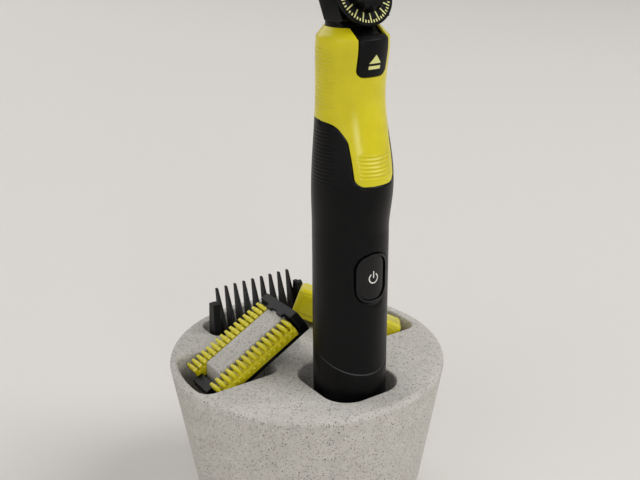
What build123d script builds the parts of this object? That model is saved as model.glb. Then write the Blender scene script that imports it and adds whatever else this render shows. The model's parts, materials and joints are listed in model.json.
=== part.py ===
from build123d import *
from functools import cache
from math import cos, pi, radians, sin, tan
import os

# A stone-effect stand that holds a rechargeable shaver, a skin guard, a body comb and a blade cap.
# Millimetres. Z is up, the base stands on Z = 0, the shaver stands at the front, towards -Y.
# Heights that end in _h are measured up from the shaver's own foot.

# Stand
stand_height = 75.0
rim_radius = 54.0
side_taper = 9.1             # degrees, each side
rim_round = 2.2
foot_round = 1.5
mouth_round = 0.8            # rounded lips of the well and the pockets
pocket_corner = 5.0
pocket_depth = 18.0

# Well for the shaver
well_width = 30.5
well_length = 33.6
well_corner = 10.0
well_depth = 25.0
well_y = -26.8

# Left pocket, with the peg for the skin guard
left_pocket_wall = 3.0       # between the pocket and the outside
left_pocket_inner = -17.5
left_pocket_front = -8.9
left_pocket_back = 22.1

# Right pocket for the blade cap, open at its back into the rear pocket for the body comb
right_pocket_inner = 16.0
right_pocket_wall = 5.0
right_pocket_front = -8.8
rear_pocket_left = -24.5
rear_pocket_front = 29.0

# Peg: a sloping bar that stands in for the shaver's head under the skin guard
peg_low_x = -37.7
peg_length = 32.9
peg_width = 10.7
peg_front = 2.5
peg_tilt = 28.3              # degrees
peg_round = 0.7

# Clearances
seat_gap = 0.3               # between a part that lifts away and its seat
slide_gap = 0.25             # round a part that slides or presses
fit_gap = 0.08               # between pieces that are assembled for good
shaft_gap = 0.06             # round a turning shaft

# Shaver handle: half its width, and its front and back measured from its axis
handle_y = -28.0
grip_half = 13.4
grip_front = 14.2
grip_back = 12.9
thumb_half = 13.8
thumb_front = 16.1
thumb_back = 11.8
waist_half = 11.9
waist_front = 11.3
waist_back = 11.7
nape_half = 12.0
nape_front = 12.2
nape_back = 11.2
brow_half = 11.9
brow_front = 13.8
brow_back = 10.2
collar_half = 9.2
collar_front = 9.6
collar_back = 7.8
grip_top_h = 84.0
grip_blend = 3.0             # the straight grip runs on this far before it starts to swell
thumb_rise = 23.0            # each of these rises is measured from the one before
waist_rise = 23.0
nape_rise = 10.5
brow_rise = 10.7
collar_rise = 3.2
foot_edge = 3.0
shell_wall = 2.0

# Lime front cover: its lower edge, and the tongue that hangs down the front
cover_wall = 1.2
cover_drop = 5.4             # from the waist down to the cover's edge
cover_side_half = 10.9
cover_side_round = 4.2
tongue_root_half = 8.25
tongue_root_drop = 5.9       # from the cover's edge
tongue_half = 7.75
tongue_drop = 20.6           # from the cover's edge
tongue_corner = 3.2
tongue_flare = 6.0

# End cap, parted from the shell along a slope
seam_front_h = 32.6
seam_slope = 22.0            # degrees, rising to the back
seal_thick = 0.6
seal_inset = 0.12
cap_wall = 2.2
cap_floor = 2.6
spigot_height = 4.0
spigot_wall = 1.2
socket_width = 9.0
socket_depth = 6.0
socket_corner = 2.4
socket_height = 12.0
socket_flange = 0.8
socket_recess = 7.0
charge_pin_radius = 0.8
charge_pin_pitch = 4.4
charge_pin_reach = 2.6
end_screw_radius = 1.1
end_screw_head = 1.9
end_screw_head_height = 1.3
end_screw_y = 6.6            # behind the handle's axis
end_boss_wall = 0.8
pillar_radius = 1.7
pillar_length = 6.0          # hangs from the chassis and takes the end screw

# Power button
button_h = 70.0
button_width = 10.6
button_height = 15.6
button_corner = 4.2
bezel_wall = 0.9
bezel_proud = 0.45
bezel_deep = 1.4
button_inset = 0.15
button_thick = 1.7
button_travel = 0.7
button_stem_radius = 1.6
button_seal_thick = 0.5
button_seal_margin = 1.6

# Release slider
release_half = 5.6
release_rise = 9.3           # from the waist to its rounded lower end
release_top_drop = 2.1       # from the collar
release_corner = 2.6
release_proud = 0.35
release_thick = 1.45
release_room = 0.6
release_travel = 1.5
lug_half = 1.3
lug_rise = 1.9               # above the slider's lower end
lug_height = 1.8
lug_reach = 4.6              # ahead of the handle's axis
release_spring_radius = 1.1
release_spring_wire = 0.35
release_spring_length = 3.6
shelf_height = 1.4

# Inside the handle
battery_radius = 7.0
battery_length = 50.0
battery_back = 1.1           # behind the handle's axis
tab_thick = 0.4
tab_width = 5.0
tray_low_h = 44.0
board_width = 11.0
board_thick = 1.0
board_front = 7.6            # ahead of the handle's axis
switch_side = 6.0
switch_body = 2.0
switch_plunger_radius = 1.2
switch_plunger = 0.35
motor_radius = 7.6
motor_length = 24.0
bell_height = 2.4
bell_radius = 6.4
boss_radius = 2.6
boss_height = 1.6
bulkhead = 1.6
chassis_wall = 1.0
motor_screw_radius = 0.7
motor_screw_head = 1.25
motor_screw_head_height = 0.6
motor_screw_deep = 2.4
motor_screw_pitch = 9.0
shaft_radius = 1.0
shaft_start = 5.0            # below the motor's top face
collar_roof = 3.8            # from the inside of the shell to the top of the collar
shaft_seal_radius = 3.2
shaft_seal_thick = 1.6
eccentric_radius = 2.6
eccentric_thick = 1.8
eccentric_offset = 0.8
eccentric_pin_radius = 0.7
eccentric_pin_length = 3.0

# Head, which leans back with the face of the dial. Local Y runs from the dial into the head,
# and local Z up along the head. The local origin is inside the dial's knob.
head_lean = 24.0             # degrees
dial_y = -36.2
dial_rise = 10.9             # above the collar
head_mid = 11.4              # local Y of the blade's middle
neck_half = 7.6
neck_deep = 4.5
neck_wall = 1.4
neck_corner = 2.0
neck_top = 4.8
neck_bend = -5.5             # local Z where the neck takes up the head's lean
neck_base_half = 7.6
neck_base_deep = 6.2
neck_base_round = 5.4
neck_base_back = 0.7         # the middle of the neck's base, behind the handle's axis
neck_flange = 1.6            # height of the flange that covers the collar behind the dial

# Blade cartridge
blade_plane = 20.0           # local Z of the blade's face
blade_length = 34.0
blade_depth = 10.6
blade_thick = 0.5
blade_tooth_pitch = 1.4
blade_slot = 0.6
blade_slot_deep = 1.7
cutter_length = 30.0
cutter_depth = 9.6
cutter_thick = 0.5
cutter_gap = 0.1
cutter_travel = 0.8
cutter_tooth_pitch = 2.0
cutter_slot = 0.9
housing_foot = -1.6
housing_foot_half = 6.0
housing_foot_deep = 2.3
housing_shoulder = 10.5      # local Z where the housing starts to widen
housing_brow = 16.0
bridge_half = 1.0            # thickness of each prong of the fork
bridge_deep = 1.3
fork_front = 9.3             # local Y, ahead of the bridge
fork_back = 12.2
fork_foot = -3.5
fork_shoulder = -1.9
fork_top = -0.4
pivot_z = 2.6
pivot_pin_radius = 0.7

# Adjustable comb that clips over the head
dial_radius = 10.6
dial_face = 1.1              # local Y of the dial's face, round its knob
dial_edge = 0.8
dial_thick = 3.0
dial_back_radius = 9.3
knob_radius = 6.4
knob_height = 3.4
knob_round = 0.8
grip_flutes = 12
flute_radius = 1.0
tick_step = 20.0             # degrees, one setting
settings = 14
setting_step = 0.6
pinion_teeth = 7
pinion_width = 1.1
pinion_gap = 0.2
spindle_radius = 0.9
spindle_hold = 1.6
comb_plate = 1.8
comb_side = 1.5
comb_foot = -7.4
comb_foot_half = 9.4
comb_flare = 3.0
comb_flare_half = 9.9
comb_shoulder = 11.0
comb_top = 21.0
comb_plate_top = 10.5
plate_slot_low = 1.75        # local Z, foot of the slot that the rack's riser slides in
comb_back = 12.4
comb_rail_front = 1.6
comb_rail_deep = 1.8
comb_rail_low = 11.9
comb_rail_top = 15.0
cheek_wall = 1.3
cheek_low = 12.3
cheek_clear = 0.6            # from the blade's end to the comb's cheek
comb_teeth = 13
comb_tooth = 1.1
comb_tooth_clear = 1.0       # above the blade's face
comb_tooth_high = 1.9
comb_tooth_tip = 17.4        # local Y of the tips
rack_low = -8.8
rack_high = 3.0
rack_back = 1.6
riser_front = 3.5            # local Y of the bar that joins the rack to the comb's rail
riser_back = 4.3
riser_low = 2.0
riser_high = 12.9
gear_tooth = 0.6             # share of the even tooth width, the rest is play
gear_foot = 1.35
gear_point = 0.55
gear_root = 1.25
gear_tip = 0.7
comb_arch = 2.2              # rounding where a tooth bends over the blade
detent_thick = 0.35
detent_inner = 3.2
detent_outer = 5.4
detent_bump = 0.4
detent_pocket = 0.9

# Skin guard. Local X runs up the slope of the peg, local Z stands off its top face.
guard_low = 22.4             # the rows of fingers reach this far down the slope from its middle
guard_high = 15.6            # and this far up
front_fingers = 15
rear_fingers = 16
finger_width = 1.75
finger_tip_width = 1.3
finger_thick = 1.5
front_reach = 7.6
front_drop = 4.8
front_bend = 3.0
rear_reach = 7.2
rear_tip = 0.7
guard_rail = 1.3
rail_drop = 2.4
frame_low = -6.6
frame_high = -5.0
frame_end = 25.0             # the frame's low end, from the middle of the slope
bracket_thick = 3.6
bracket_high = 1.3
bracket_lip = 1.7
bracket_front = 10.2
bracket_back = 11.6
bracket_side_low = -3.0
notch_half = 1.9
low_bracket_high = -2.6

# Body comb. Its teeth lean back over the rim.
body_teeth = 9
body_pitch = 4.26
body_tooth = 2.0
body_tooth_tip = 0.8
body_first_x = -18.2
body_tip_y = 39.8
body_tip_rise = 16.4         # above the rim
body_tip_deep = 1.3
body_root_front = 30.2
body_root_back = 37.0
body_rail_low = -9.0
body_rail_high = -4.0
body_plate = 1.7
body_end_plate = 3.0         # the thicker plate at its left end
body_end_front = 32.0
body_plate_rise = 12.5
body_plate_tip = 3.6
body_ring_radius = 1.7
body_ring_hole = 0.8
body_ring_rise = 10.4

# Blade cap, leaning in the right pocket
cap_length = 44.5
cap_width = 13.4
cap_height = 12.0
cap_shell = 1.2
cap_corner = 2.0
cap_corner_x = 17.7          # its upper corner near the body comb, as it lies
cap_corner_y = 29.2
cap_corner_rise = 14.3       # above the rim
cap_turn = -41.9             # degrees, its direction seen from above
cap_fall = 19.9              # degrees, down towards the front
cap_roll = 12.1              # degrees, about its own length

# Worked out from the sizes above
far = 400.0                  # longer than anything here, for cutting tools
past = 1.0                   # how far a cut runs on past a face
base_radius = rim_radius - stand_height * tan(radians(side_taper))
well_floor = stand_height - well_depth
foot_z = well_floor + seat_gap
pocket_floor = stand_height - pocket_depth
lean = radians(peg_tilt)
peg_high_x = peg_low_x + peg_length * cos(lean)
peg_high_z = stand_height + peg_length * sin(lean)
inner_skin = cover_wall + fit_gap + shell_wall      # the handle's cavity, in from its outside
chassis_skin = inner_skin + fit_gap
thumb_h = grip_top_h + thumb_rise
waist_h = thumb_h + waist_rise
nape_h = waist_h + nape_rise
brow_h = nape_h + brow_rise
collar_h = brow_h + collar_rise
cover_low_h = waist_h - cover_drop
tongue_root_h = cover_low_h - tongue_root_drop
tongue_low_h = cover_low_h - tongue_drop
release_low_h = waist_h + release_rise
release_top_h = collar_h - release_top_drop
lug_low_h = release_low_h + lug_rise
cavity_top_h = collar_h - collar_roof
tray_high_h = tray_low_h + battery_length + 2 * tab_thick
motor_low_h = tray_high_h + bulkhead + bell_height
motor_top_h = motor_low_h + motor_length
eccentric_low_h = collar_h + slide_gap
eccentric_top_h = eccentric_low_h + eccentric_thick
battery_y = handle_y + battery_back
board_y = handle_y - board_front
head = Plane(
    origin=(0, dial_y, foot_z + collar_h + dial_rise),
    x_dir=(1, 0, 0),
    z_dir=(0, sin(radians(head_lean)), cos(radians(head_lean))),
)
fork_gap = eccentric_offset + eccentric_pin_radius + cutter_travel + slide_gap
housing_slot = fork_gap + bridge_half + cutter_travel + slide_gap
cutter_top = blade_plane - blade_thick - cutter_gap
housing_top = cutter_top - cutter_thick - slide_gap
setting_travel = setting_step * (settings - 1)
dial_sweep = tick_step * (settings - 1)
pinion_radius = setting_travel / radians(dial_sweep)
gear_module = 2 * pinion_radius / pinion_teeth
plate_front = dial_thick + slide_gap
plate_back = plate_front + comb_plate
pinion_front = plate_back + pinion_gap
pinion_back = pinion_front + pinion_width
rack_pitch = pi * gear_module
rack_root_x = pinion_radius + gear_module * gear_root
rack_back_x = rack_root_x + rack_back
cheek_inner = blade_length / 2 + cheek_clear
cheek_outer = cheek_inner + cheek_wall
comb_half = cheek_outer + slide_gap + comb_side
slope = Plane(
    origin=((peg_low_x + peg_high_x) / 2, peg_front + peg_width / 2, (stand_height + peg_high_z) / 2),
    x_dir=(cos(lean), 0, sin(lean)),
    z_dir=(-sin(lean), 0, cos(lean)),
)


def block(x, y, z):
    """A box between a low and a high value on each axis."""
    middle = [(low + high) / 2 for low, high in (x, y, z)]
    return Pos(*middle) * Box(x[1] - x[0], y[1] - y[0], z[1] - z[0])


def pin(radius, low, high, x=0.0, y=0.0):
    """An upright cylinder between two heights."""
    return Pos(x, y, (low + high) / 2) * Cylinder(radius, high - low)


def bar(radius, left, right, y, z):
    """A cylinder along X."""
    return Pos((left + right) / 2, y, z) * Rot(0, 90, 0) * Cylinder(radius, right - left)


def disc(radius, front, back, x=0.0, z=0.0):
    """A cylinder along Y."""
    return Pos(x, (front + back) / 2, z) * Rot(90, 0, 0) * Cylinder(radius, back - front)


def through(outline, front, back):
    """An outline seen from the front, in X and Z, made solid from one Y to another."""
    placed = Plane(origin=(0, front, 0), x_dir=(1, 0, 0), z_dir=(0, -1, 0)) * outline
    return extrude(placed, amount=back - front, dir=(0, 1, 0))


def along(outline, left, right):
    """An outline seen from the side, in Y and Z, made solid from one X to another."""
    placed = Plane(origin=(left, 0, 0), x_dir=(0, 1, 0), z_dir=(1, 0, 0)) * outline
    return extrude(placed, amount=right - left, dir=(1, 0, 0))


def mirrored(points):
    """A right-hand edge from top to bottom, closed by its mirror image about X = 0."""
    return Polygon(*points, *[(-x, z) for x, z in reversed(points)], align=None)


# Stand

def stand_cone(inset=0.0):
    """The stand's tapered form, or the same form drawn in by a wall."""
    return Pos(0, 0, stand_height / 2) * Cone(base_radius - inset, rim_radius - inset, stand_height)


def beyond(left, right, front, back):
    """A rectangle between two values of X and of Y."""
    return Pos((left + right) / 2, (front + back) / 2) * Rectangle(right - left, back - front)


def pocket_tool(outline, wall):
    """A pocket cut down from the rim: its outer side follows the stand's own taper."""
    tool = extrude(Plane.XY.offset(pocket_floor) * outline, amount=pocket_depth) & stand_cone(wall)
    corners = [e for e in tool.edges() if abs((e @ 0).Z - (e @ 1).Z) > pocket_depth / 2]
    return fillet(corners, pocket_corner)


def peg():
    """The sloping bar in the left pocket: square to its slope at the high end, upright at the low."""
    sunk_x = left_pocket_inner + mouth_round
    sunk_z = stand_height - rim_round
    floor = pocket_floor - mouth_round
    points = (
        (peg_low_x, floor),
        (sunk_x, floor),
        (sunk_x, sunk_z),
        (peg_high_x + (peg_high_z - sunk_z) * tan(lean), sunk_z),
        (peg_high_x, peg_high_z),
        (peg_low_x, stand_height),
    )
    body = through(Polygon(*points, align=None), peg_front, peg_front + peg_width)
    crown = [e for e in body.edges() if e.center().Z > stand_height - peg_round]
    return fillet([e for e in crown if e.center().X < peg_high_x + peg_round], peg_round)


def stand_body():
    body = stand_cone()
    body = fillet(body.edges().group_by(Axis.Z)[-1], rim_round)
    body = fillet(body.edges().group_by(Axis.Z)[0], foot_round)
    well = Pos(0, well_y) * RectangleRounded(well_width, well_length, well_corner)
    body -= extrude(Plane.XY.offset(well_floor) * well, amount=well_depth)
    body -= pocket_tool(
        beyond(-far, left_pocket_inner, left_pocket_front, left_pocket_back), left_pocket_wall)
    body -= pocket_tool(
        beyond(right_pocket_inner, far, right_pocket_front, far)
        + beyond(rear_pocket_left, far, rear_pocket_front, far), right_pocket_wall)
    top = body.faces().sort_by(Axis.Z)[-1]
    body = fillet([e for wire in top.inner_wires() for e in wire.edges()], mouth_round)
    return body + peg()


# Shaver handle

def oval(height, half, front, back, inset=0.0):
    """One level of the handle: a front and a back half ellipse of the same width."""
    centre = (0, handle_y)
    ahead = EllipticalCenterArc(centre, half - inset, front - inset, 180, arc_size=180)
    behind = EllipticalCenterArc(centre, half - inset, back - inset, 0, arc_size=180)
    return Plane.XY.offset(foot_z + height) * make_face([ahead, behind])


@cache
def handle_form(inset=0.0):
    """The handle's whole outline, or the same outline drawn in by a wall."""
    low = oval(0, grip_half, grip_front, grip_back, inset)
    brow = oval(brow_h, brow_half, brow_front, brow_back, inset)
    swell = loft([
        oval(grip_top_h, grip_half, grip_front, grip_back, inset),
        oval(grip_top_h + grip_blend, grip_half, grip_front, grip_back, inset),
        oval(thumb_h, thumb_half, thumb_front, thumb_back, inset),
        oval(waist_h, waist_half, waist_front, waist_back, inset),
        oval(nape_h, nape_half, nape_front, nape_back, inset),
        brow,
    ])
    collar = oval(collar_h, collar_half, collar_front, collar_back, inset)
    return extrude(low, amount=grip_top_h) + swell + loft([brow, collar], ruled=True)


def skin(outer, inner):
    """A layer of the handle between two depths below its outside."""
    return handle_form(outer) - handle_form(inner)


def level(low, high):
    """Everything between two heights above the shaver's foot."""
    return block((-far, far), (-far, far), (foot_z + low, foot_z + high))


def below_seam(rise=0.0):
    """Everything under the sloping seam of the end cap, or under a plane above it."""
    run = far * tan(radians(seam_slope))
    seam_z = foot_z + seam_front_h + rise
    seam_y = handle_y - grip_front
    points = ((seam_y - far, -far), (seam_y + far, -far), (seam_y + far, seam_z + run),
              (seam_y - far, seam_z - run))
    return along(Polygon(*points, align=None), -far, far)


def ahead_of_axis(outline):
    """An outline seen from the front, cut through the front half of the handle only."""
    return through(outline, handle_y - 2 * grip_front, handle_y)


def cover_outline(gap=0.0):
    """The lime cover seen from the front, with its rounded tongue."""
    points = [
        (far, foot_z + collar_h + far),
        (far, foot_z + cover_low_h - gap),
        (cover_side_half + gap, foot_z + cover_low_h - gap),
        (tongue_root_half + gap, foot_z + tongue_root_h),
        (tongue_half + gap, foot_z + tongue_low_h - gap),
    ]
    outline = mirrored(points)
    rounds = (
        (tongue_low_h - gap, tongue_corner),
        (tongue_root_h, tongue_flare),
        (cover_low_h - gap, cover_side_round),
    )
    for height, radius in rounds:
        corners = [v for v in outline.vertices() if abs(v.Y - foot_z - height) < fit_gap / 2]
        outline = fillet([v for v in corners if abs(v.X) < grip_half], radius)
    return outline


def cover_region(gap=0.0):
    back = block((-far, far), (handle_y - fit_gap, far), (foot_z + cover_low_h - gap, far))
    return ahead_of_axis(cover_outline(gap)) + back


def release_outline(gap=0.0, rise=0.0):
    """The release slider seen from the front: rounded below, square above."""
    low = foot_z + release_low_h - gap
    high = foot_z + release_top_h + rise
    half = release_half + gap
    outline = Pos(0, (low + high) / 2) * Rectangle(2 * half, high - low)
    return fillet([v for v in outline.vertices() if v.Y < (low + high) / 2], release_corner + gap)


def front_cover():
    cover = skin(0, cover_wall) & cover_region()
    return cover - ahead_of_axis(release_outline(slide_gap, collar_h))


def button_outline(grow=0.0):
    """The power button seen from the front, or the same outline drawn larger."""
    return Pos(0, foot_z + button_h) * RectangleRounded(
        button_width + 2 * grow, button_height + 2 * grow, button_corner + grow)


def handle_shell():
    shell = handle_form() - below_seam(seal_thick)
    shell -= skin(-past, cover_wall + fit_gap) & cover_region(fit_gap)
    shell -= handle_form(inner_skin) & level(0, cavity_top_h)
    shell -= ahead_of_axis(button_outline(slide_gap))
    shell -= skin(-bezel_proud, bezel_deep + fit_gap) & ahead_of_axis(
        button_outline(slide_gap + bezel_wall + fit_gap))
    shell -= skin(-past, cover_wall + fit_gap + release_room) & ahead_of_axis(
        release_outline(slide_gap, collar_h))
    shell -= pin(shaft_seal_radius + fit_gap, foot_z + cavity_top_h - fit_gap, foot_z + collar_h + far,
                 0, handle_y)
    lug_slot = block(
        (-lug_half - slide_gap, lug_half + slide_gap), (handle_y - grip_front, handle_y),
        (foot_z + lug_low_h - slide_gap, foot_z + lug_low_h + lug_height + release_travel + slide_gap))
    shell -= lug_slot
    shelf_z = foot_z + lug_low_h + lug_height + release_spring_length
    shelf = block((-lug_half, lug_half), (handle_y - waist_front, handle_y - lug_reach),
                  (shelf_z, shelf_z + shelf_height))
    return shell + (shelf & handle_form(inner_skin - fit_gap))


def end_cap():
    cap = handle_form() & below_seam()
    cap = fillet(cap.edges().group_by(Axis.Z)[0], foot_edge)
    cap -= handle_form(cap_wall) & level(cap_floor, far)
    spigot = skin(inner_skin + fit_gap, inner_skin + fit_gap + spigot_wall)
    cap += spigot & (below_seam(spigot_height) - below_seam(-cap_wall))
    ledge = skin(cap_wall - fit_gap, inner_skin + fit_gap + spigot_wall)
    cap += ledge & (below_seam() - below_seam(-cap_wall))
    socket = Pos(0, handle_y) * RectangleRounded(
        socket_width + 2 * fit_gap, socket_depth + 2 * fit_gap, socket_corner)
    cap -= extrude(Plane.XY.offset(foot_z) * socket, amount=2 * cap_floor)
    screw_y = handle_y + end_screw_y
    cap -= pin(pillar_radius + seat_gap, foot_z + cap_floor + end_screw_head_height,
               foot_z + tray_low_h, 0, screw_y)
    boss = pin(end_screw_head + end_boss_wall, foot_z + cap_floor - fit_gap,
               foot_z + cap_floor + end_screw_head_height, 0, screw_y)
    cap += boss & handle_form(cap_wall / 2)
    cap -= pin(end_screw_radius + fit_gap, foot_z - cap_floor, foot_z + 2 * cap_floor, 0, screw_y)
    return cap - pin(end_screw_head + fit_gap, foot_z - cap_floor, foot_z + end_screw_head_height,
                     0, screw_y)


def end_cap_seal():
    """The thin shiny ring that shows as a line round the handle."""
    ring = skin(seal_inset, inner_skin)
    return ring & (below_seam(seal_thick) - below_seam())


def end_cap_screw():
    y = handle_y + end_screw_y
    head = pin(end_screw_head, foot_z + end_screw_head_height / 2, foot_z + end_screw_head_height, 0, y)
    return head + pin(end_screw_radius, foot_z + end_screw_head_height,
                      foot_z + tray_low_h - 2 * fit_gap, 0, y)


def charge_socket():
    """A moulded inlet that stands on the cap's floor, with its mouth in the foot of the shaver."""
    body = Pos(0, handle_y) * RectangleRounded(socket_width, socket_depth, socket_corner)
    body = extrude(Plane.XY.offset(foot_z) * body, amount=socket_height)
    flange = Pos(0, handle_y) * RectangleRounded(
        socket_width + 2 * socket_flange, socket_depth + 2 * socket_flange, socket_corner)
    body += extrude(Plane.XY.offset(foot_z + cap_floor) * flange, amount=socket_flange)
    mouth = Pos(0, handle_y) * RectangleRounded(
        socket_width - socket_flange, socket_depth - socket_flange, socket_corner - socket_flange / 2)
    body -= extrude(Plane.XY.offset(foot_z) * mouth, amount=socket_recess)
    for x in (-charge_pin_pitch / 2, charge_pin_pitch / 2):
        body -= pin(charge_pin_radius, foot_z, foot_z + socket_height, x, handle_y)
    return body


def charge_pins():
    low = foot_z + socket_recess - charge_pin_reach
    high = foot_z + socket_height + charge_pin_reach / 2
    return [pin(charge_pin_radius, low, high, x, handle_y)
            for x in (-charge_pin_pitch / 2, charge_pin_pitch / 2)]


def chassis():
    """The tray that carries the battery, the board and the motor, with three cross walls."""
    full = handle_form(chassis_skin)
    tray = full - handle_form(chassis_skin + chassis_wall)
    tray &= block((-far, far), (handle_y + chassis_wall, far),
                  (foot_z + tray_low_h - bulkhead, foot_z + motor_top_h + bulkhead))
    tray -= pin(battery_radius + fit_gap, foot_z + tray_low_h, foot_z + tray_high_h, 0, battery_y)
    tray -= pin(motor_radius + fit_gap, foot_z + tray_high_h + bulkhead, foot_z + motor_top_h,
                0, handle_y)
    tray += full & level(tray_low_h - bulkhead, tray_low_h)
    tray += full & level(tray_high_h, tray_high_h + bulkhead)
    tray += full & level(motor_top_h, motor_top_h + bulkhead)
    tray -= pin(boss_radius + fit_gap, foot_z + motor_top_h - fit_gap,
                foot_z + motor_top_h + 2 * bulkhead, 0, handle_y)
    for x in (-motor_screw_pitch / 2, motor_screw_pitch / 2):
        tray -= pin(motor_screw_radius + fit_gap, foot_z + motor_top_h - fit_gap,
                    foot_z + motor_top_h + 2 * bulkhead, x, handle_y)
    tray -= skin(0, inner_skin + fit_gap + spigot_wall + seat_gap) & below_seam(
        spigot_height + seat_gap)
    bottom = foot_z + tray_low_h - bulkhead
    tray += pin(pillar_radius, bottom - pillar_length, bottom + fit_gap, 0, handle_y + end_screw_y)
    return tray - pin(end_screw_radius + shaft_gap, bottom - 2 * pillar_length,
                      foot_z + tray_low_h - fit_gap, 0, handle_y + end_screw_y)


def battery_cell():
    return pin(battery_radius, foot_z + tray_low_h + tab_thick,
               foot_z + tray_high_h - tab_thick, 0, battery_y)


def battery_tabs():
    """A nickel strip under the cell and one over it, each folded down beside the cell."""
    tabs = []
    for low in (foot_z + tray_low_h, foot_z + tray_high_h - tab_thick):
        tabs.append(block((-tab_width / 2, tab_width / 2),
                          (battery_y - battery_radius, battery_y + tab_width / 2),
                          (low, low + tab_thick)))
    return tabs


def circuit_board():
    return block((-board_width / 2, board_width / 2), (board_y, board_y + board_thick),
                 (foot_z + tray_low_h, foot_z + tray_high_h))


def tact_switch():
    half = switch_side / 2
    z = foot_z + button_h
    body = block((-half, half), (board_y - switch_body, board_y), (z - half, z + half))
    return body + disc(switch_plunger_radius, board_y - switch_body - switch_plunger,
                       board_y - switch_body, 0, z)


def motor_can():
    can = pin(motor_radius, foot_z + motor_low_h, foot_z + motor_top_h, 0, handle_y)
    can += pin(boss_radius, foot_z + motor_top_h, foot_z + motor_top_h + boss_height, 0, handle_y)
    can -= pin(shaft_radius + shaft_gap, foot_z + motor_top_h - shaft_start,
               foot_z + motor_top_h + 2 * boss_height, 0, handle_y)
    for x in (-motor_screw_pitch / 2, motor_screw_pitch / 2):
        can -= pin(motor_screw_radius, foot_z + motor_top_h - motor_screw_deep,
                   foot_z + motor_top_h + fit_gap, x, handle_y)
    return can


def motor_bell():
    return pin(bell_radius, foot_z + motor_low_h - bell_height, foot_z + motor_low_h, 0, handle_y)


def motor_screws():
    seat = foot_z + motor_top_h + bulkhead
    return [
        pin(motor_screw_radius, foot_z + motor_top_h - motor_screw_deep, seat, x, handle_y)
        + pin(motor_screw_head, seat, seat + motor_screw_head_height, x, handle_y)
        for x in (-motor_screw_pitch / 2, motor_screw_pitch / 2)
    ]


def motor_shaft():
    return pin(shaft_radius, foot_z + motor_top_h - shaft_start + seat_gap,
               foot_z + eccentric_top_h - eccentric_thick / 2, 0, handle_y)


def eccentric():
    """The disc on the end of the motor's shaft, with the off-centre pin that drives the cutter."""
    low = foot_z + eccentric_low_h
    top = foot_z + eccentric_top_h
    part = pin(eccentric_radius, low, top, 0, handle_y)
    part -= pin(shaft_radius, low - fit_gap, top - eccentric_thick / 2, 0, handle_y)
    return part + pin(eccentric_pin_radius, top, top + eccentric_pin_length,
                      eccentric_offset, handle_y)


def shaft_seal():
    low = foot_z + cavity_top_h
    ring = pin(shaft_seal_radius, low, low + shaft_seal_thick, 0, handle_y)
    return ring - pin(shaft_radius + shaft_gap, low - fit_gap, low + 2 * shaft_seal_thick, 0, handle_y)


def button_bezel():
    ring = skin(-bezel_proud, bezel_deep)
    ring &= ahead_of_axis(button_outline(slide_gap + bezel_wall))
    return ring - ahead_of_axis(button_outline(slide_gap))


def power_button():
    deep = button_inset + button_thick
    cap = skin(button_inset, deep) & ahead_of_axis(button_outline())
    stem = disc(button_stem_radius, handle_y - grip_front + deep - fit_gap,
                handle_y - grip_front + inner_skin - button_travel, 0, foot_z + button_h)
    return cap + stem


def button_seal():
    layer = skin(inner_skin + fit_gap, inner_skin + fit_gap + button_seal_thick)
    return layer & ahead_of_axis(button_outline(button_seal_margin))


def release_slider():
    plate = skin(-release_proud, release_thick - release_proud)
    plate &= ahead_of_axis(release_outline())
    lug = block((-lug_half, lug_half), (handle_y - waist_front, handle_y - lug_reach),
                (foot_z + lug_low_h, foot_z + lug_low_h + lug_height))
    reach = block((-lug_half, lug_half),
                  (handle_y - brow_front, handle_y - lug_reach),
                  (foot_z + lug_low_h, foot_z + lug_low_h + lug_height))
    return plate + (reach & handle_form(0)) + lug


def release_spring():
    low = foot_z + lug_low_h + lug_height
    y = handle_y - lug_reach - release_spring_radius
    spring = pin(release_spring_radius, low, low + release_spring_length, 0, y)
    return spring - pin(release_spring_radius - release_spring_wire, low - fit_gap,
                        low + 2 * release_spring_length, 0, y)


# Head of the shaver

def neck():
    """The black neck: an upright oval on the collar that turns into a leaning socket."""
    outline = RectangleRounded(2 * neck_half, 2 * neck_deep, neck_corner)
    upper = extrude(head * Pos(0, head_mid, 2 * neck_bend) * outline, amount=neck_top - 2 * neck_bend)
    body = upper & level(collar_h, far)
    foot = Pos(0, handle_y + neck_base_back, foot_z + collar_h) * RectangleRounded(
        2 * neck_base_half, 2 * neck_base_deep, neck_base_round)
    under = head.location * block((-far, far), (pinion_back + 2 * slide_gap, far), (-far, neck_bend))
    flange = oval(collar_h, collar_half, collar_front, collar_back, neck_flange / 4)
    behind = head.location * block((-far, far), (pinion_back + 2 * slide_gap, far), (-far, far))
    body += extrude(foot, amount=neck_base_deep) & under
    body += extrude(flange, amount=neck_flange) & behind
    inside = head * Pos(0, head_mid, 2 * neck_bend) * Rectangle(
        2 * (neck_half - neck_wall), 2 * (neck_deep - neck_wall))
    body -= extrude(inside, amount=neck_top - 3 * neck_bend) & level(collar_h, far)
    body -= pin(eccentric_radius + 2 * slide_gap, foot_z + collar_h - past,
                foot_z + eccentric_top_h + eccentric_pin_length, 0, handle_y)
    return body - head.location * bar(pivot_pin_radius, -2 * neck_half, 2 * neck_half, head_mid, pivot_z)


def pivot_pins():
    """Two short steel pins that carry the blade cartridge in the neck."""
    pins = []
    for side in (-1, 1):
        ends = sorted((side * (housing_slot + fit_gap), side * neck_half))
        pins.append(head.location * bar(pivot_pin_radius, *ends, head_mid, pivot_z))
    return pins


def at_head(z, outline):
    """A flat outline centred on the blade's middle, at a local height in the head."""
    return Pos(0, head_mid, z) * outline


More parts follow.
